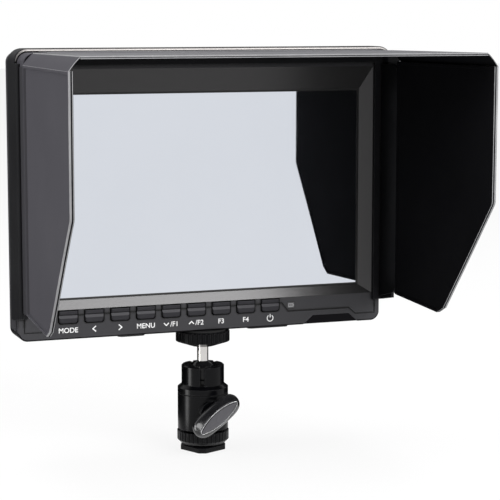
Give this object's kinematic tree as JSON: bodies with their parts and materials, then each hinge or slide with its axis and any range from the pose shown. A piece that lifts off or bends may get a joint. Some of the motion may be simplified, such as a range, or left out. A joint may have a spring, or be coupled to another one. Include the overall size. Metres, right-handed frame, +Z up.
{
  "type": "camera field monitor with sun hood",
  "caption": "Flat camera monitor with a key row below its screen, a clip-on folding sun hood, a rear battery plate and a small ball head with a shoe foot.",
  "frame": {"origin": "centre of the threaded hole at the shoe foot's underside, on the ball head's axis", "axes": "+Z up; +X to the right of a viewer who faces the screen; the screen faces -Y"},
  "size_m": [0.1866, 0.146, 0.1925],
  "materials": {
    "head_black": "gloss black anodised",
    "knob_black": "satin black anodised",
    "ball_black": "polished black",
    "inner_plastic": "natural acetal",
    "bright_steel": "plated",
    "black_steel": "black oxide",
    "chrome_stud": "polished",
    "black_rubber": "matt",
    "case_plastic": "fine texture",
    "hood_plastic": "satin",
    "strip_board": "matt",
    "hood_cloth": "laminated woven",
    "screen_glass": "glossy",
    "screen_panel": "lit panel",
    "circuit_board": "solder mask",
    "switch_black": "moulded",
    "key_plastic": "moulded",
    "socket_black": "moulded",
    "light_lens": "frosted",
    "brass_insert": "turned",
    "brass_contact": "plated"
  },
  "bodies": {
    "head": {"shoe_foot": "head_black", "head_housing": "head_black", "ball_collet": "head_black"},
    "washer": {"shoe_washer": "bright_steel"},
    "ring": {"shoe_lock_ring": "head_black"},
    "clamp": {"clamp_screw": "bright_steel"},
    "knob": {"wing_knob": "knob_black"},
    "seat": {"ball_seat": "inner_plastic"},
    "stud": {"ball": "ball_black", "stud_screw": "chrome_stud"},
    "pad": {"disc_pad": "black_rubber"},
    "disc": {"locking_disc": "head_black"},
    "monitor": {"front_bezel": "case_plastic", "screen_glass": "screen_glass", "lcd_panel": "screen_panel", "panel_bracket": "bright_steel", "main_board": "circuit_board", "board_screws": "bright_steel", "key_board": "circuit_board", "key_switches": "switch_black", "battery_light": "light_lens", "rear_cover": "case_plastic", "case_screws": "black_steel", "tripod_insert": "brass_insert", "foot_pads": "black_rubber", "hdmi_in_socket": "bright_steel", "hdmi_out_socket": "bright_steel", "power_jack": "socket_black", "headphone_jack": "socket_black", "battery_plate": "case_plastic", "plate_screws": "black_steel", "battery_contacts": "brass_contact", "latch_spring": "bright_steel"},
    "latch": {"battery_latch": "key_plastic"},
    "hood": {"hood_frame": "hood_plastic", "left_hinge_strip": "strip_board", "right_hinge_strip": "strip_board", "top_hinge_strip": "strip_board"},
    "left_panel": {"left_side_panel": "hood_cloth"},
    "left_flap": {"left_corner_flap": "hood_cloth"},
    "right_panel": {"right_side_panel": "hood_cloth"},
    "right_flap": {"right_corner_flap": "hood_cloth"},
    "top": {"top_panel": "hood_cloth"},
    "mode_button": {"mode_button": "key_plastic"},
    "left_button": {"left_button": "key_plastic"},
    "right_button": {"right_button": "key_plastic"},
    "menu_button": {"menu_button": "key_plastic"},
    "down_button": {"down_button": "key_plastic"},
    "up_button": {"up_button": "key_plastic"},
    "third_function_button": {"third_function_button": "key_plastic"},
    "fourth_function_button": {"fourth_function_button": "key_plastic"},
    "power_button": {"power_button": "key_plastic"}
  },
  "joints": [
    {"name": "washer_slide", "type": "slide", "parent": "head", "child": "washer", "axis": [0, 0, 1], "range_m": [0, 0.00076]},
    {"name": "ring_turn", "type": "hinge", "parent": "washer", "child": "ring", "pos_m": [0, 0, 0.0043], "axis": [0, 0, 1], "range_deg": [0, 270]},
    {"name": "clamp_slide", "type": "slide", "parent": "head", "child": "clamp", "axis": [0, -1, 0], "range_m": [0, 0.00081]},
    {"name": "knob_turn", "type": "hinge", "parent": "clamp", "child": "knob", "pos_m": [0, -0.0175, 0.02], "axis": [0, -1, 0], "range_deg": [0, 360]},
    {"name": "ball_pan", "type": "hinge", "parent": "head", "child": "seat", "pos_m": [0, 0, 0.0368], "axis": [0, 0, 1], "continuous": true},
    {"name": "ball_tilt", "type": "hinge", "parent": "seat", "child": "stud", "pos_m": [0, 0, 0.0368], "axis": [1, 0, 0], "range_deg": [-28, 28]},
    {"name": "pad_slide", "type": "slide", "parent": "stud", "child": "pad", "axis": [0, 0, -1], "range_m": [0, 0.00128]},
    {"name": "disc_turn", "type": "hinge", "parent": "pad", "child": "disc", "pos_m": [0, 0, 0.0582], "axis": [0, 0, -1], "range_deg": [0, 360]},
    {"name": "monitor_turn", "type": "hinge", "parent": "stud", "child": "monitor", "pos_m": [0, 0, 0.059], "axis": [0, 0, 1], "range_deg": [-180, 180]},
    {"name": "mode_press", "type": "slide", "parent": "monitor", "child": "mode_button", "axis": [0, 1, 0], "range_m": [0, 0.0006], "stiffness_N_per_m": 300, "springref_m": -0.0005},
    {"name": "left_press", "type": "slide", "parent": "monitor", "child": "left_button", "axis": [0, 1, 0], "range_m": [0, 0.0006], "stiffness_N_per_m": 300, "springref_m": -0.0005},
    {"name": "right_press", "type": "slide", "parent": "monitor", "child": "right_button", "axis": [0, 1, 0], "range_m": [0, 0.0006], "stiffness_N_per_m": 300, "springref_m": -0.0005},
    {"name": "menu_press", "type": "slide", "parent": "monitor", "child": "menu_button", "axis": [0, 1, 0], "range_m": [0, 0.0006], "stiffness_N_per_m": 300, "springref_m": -0.0005},
    {"name": "down_press", "type": "slide", "parent": "monitor", "child": "down_button", "axis": [0, 1, 0], "range_m": [0, 0.0006], "stiffness_N_per_m": 300, "springref_m": -0.0005},
    {"name": "up_press", "type": "slide", "parent": "monitor", "child": "up_button", "axis": [0, 1, 0], "range_m": [0, 0.0006], "stiffness_N_per_m": 300, "springref_m": -0.0005},
    {"name": "third_function_press", "type": "slide", "parent": "monitor", "child": "third_function_button", "axis": [0, 1, 0], "range_m": [0, 0.0006], "stiffness_N_per_m": 300, "springref_m": -0.0005},
    {"name": "fourth_function_press", "type": "slide", "parent": "monitor", "child": "fourth_function_button", "axis": [0, 1, 0], "range_m": [0, 0.0006], "stiffness_N_per_m": 300, "springref_m": -0.0005},
    {"name": "power_press", "type": "slide", "parent": "monitor", "child": "power_button", "axis": [0, 1, 0], "range_m": [0, 0.0006], "stiffness_N_per_m": 300, "springref_m": -0.0005},
    {"name": "latch_press", "type": "slide", "parent": "monitor", "child": "latch", "axis": [0, -1, 0], "range_m": [0, 0.0014], "stiffness_N_per_m": 300, "springref_m": -0.0005, "deforming": ["latch_spring"]},
    {"name": "hood_slide", "type": "slide", "parent": "monitor", "child": "hood", "axis": [0, 0, 1], "range_m": [0, 0.122]},
    {"name": "left_fold", "type": "hinge", "parent": "hood", "child": "left_panel", "pos_m": [-0.0902, -0.0285, 0.129], "axis": [0, 0, 1], "range_deg": [0, 91.9]},
    {"name": "left_flap_fold", "type": "hinge", "parent": "left_panel", "child": "left_flap", "pos_m": [-0.09065, -0.03009, 0.1859], "axis": [0.0332, 0.9995, 0], "range_deg": [0, 135.01]},
    {"name": "right_fold", "type": "hinge", "parent": "hood", "child": "right_panel", "pos_m": [0.0847, -0.0285, 0.129], "axis": [0, 0, -1], "range_deg": [0, 91.9]},
    {"name": "right_flap_fold", "type": "hinge", "parent": "right_panel", "child": "right_flap", "pos_m": [0.08765, -0.03, 0.1859], "axis": [0.0332, -0.9995, 0], "range_deg": [0, 135.01]},
    {"name": "top_fold", "type": "hinge", "parent": "hood", "child": "top", "pos_m": [-0.0015, -0.0285, 0.1851], "axis": [1, 0, 0], "range_deg": [0, 90.4]}
  ],
  "couplings": [
    {"joint": "washer_slide", "follows": "ring_turn", "m_per_rad": 0.00015915},
    {"joint": "clamp_slide", "follows": "knob_turn", "m_per_rad": 0.00012732},
    {"joint": "pad_slide", "follows": "disc_turn", "m_per_rad": 0.00020213},
    {"joint": "left_flap_fold", "follows": "left_fold", "ratio": 1.469},
    {"joint": "right_flap_fold", "follows": "right_fold", "ratio": 1.469}
  ]
}
